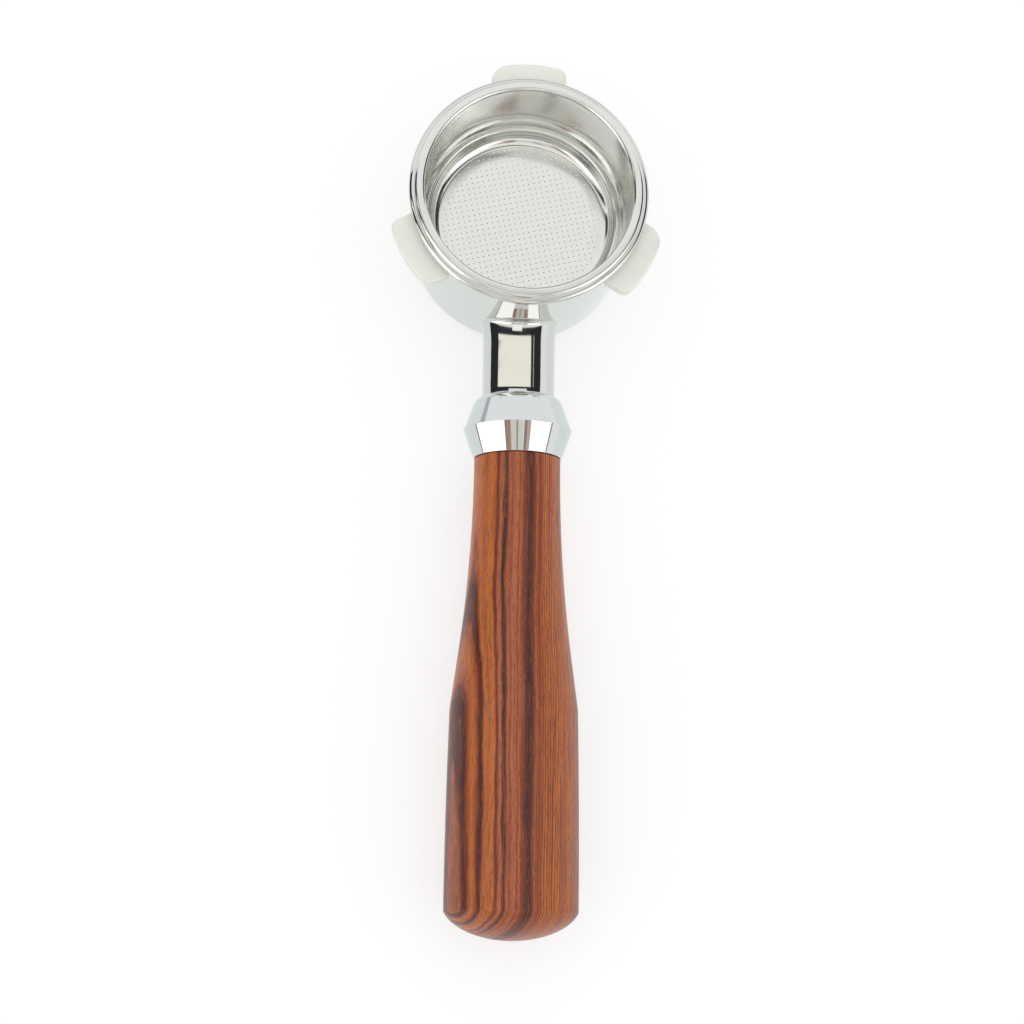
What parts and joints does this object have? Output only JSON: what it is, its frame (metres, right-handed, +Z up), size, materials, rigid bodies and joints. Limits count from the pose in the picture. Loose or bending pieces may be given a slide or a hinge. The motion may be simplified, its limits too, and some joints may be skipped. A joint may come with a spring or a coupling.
{
  "type": "portafilter",
  "caption": "Bottomless espresso portafilter: three-lug ring with a lift-out filter basket, a plain neck, a ridged metal ferrule and a turned wooden handle.",
  "frame": {"origin": "on the group's axis, at the plane of the basket's rim, where the group's gasket seals", "axes": "+Z up along the group's axis, -Y along the handle, +X to the right seen from the handle's end"},
  "size_m": [0.0696, 0.2253, 0.0548],
  "materials": {
    "nickel_plated_brass": "polished nickel plate, satin on the lugs",
    "stainless_sheet": "polished and finely brushed round its axis",
    "spring_wire": "drawn wire",
    "chrome_ferrule": "bright chrome",
    "zinc_steel": "zinc plated thread",
    "brass_insert": "turned",
    "rosewood": "oiled satin, dark streaked grain along the handle"
  },
  "bodies": {
    "head": {"head_casting": "nickel_plated_brass", "basket_spring": "spring_wire"},
    "basket": {"filter_basket": "stainless_sheet"},
    "ferrule": {"handle_ferrule": "chrome_ferrule", "spring_washer": "spring_wire"},
    "handle": {"wooden_handle": "rosewood", "threaded_insert": "brass_insert", "handle_stud": "zinc_steel"}
  },
  "joints": [
    {"name": "basket_lift", "type": "slide", "parent": "head", "child": "basket", "axis": [0, 0, 1], "range_m": [0, 0.045]},
    {"name": "handle_travel", "type": "slide", "parent": "head", "child": "ferrule", "axis": [0, -0.9981, -0.061], "range_m": [0, 0.0175]},
    {"name": "handle_turn", "type": "hinge", "parent": "ferrule", "child": "handle", "pos_m": [0, 0, -0.0265], "axis": [0, -0.9981, -0.061], "range_deg": [0, 3600]}
  ],
  "couplings": [
    {"joint": "handle_turn", "follows": "handle_travel", "rad_per_m": 3590.4}
  ]
}
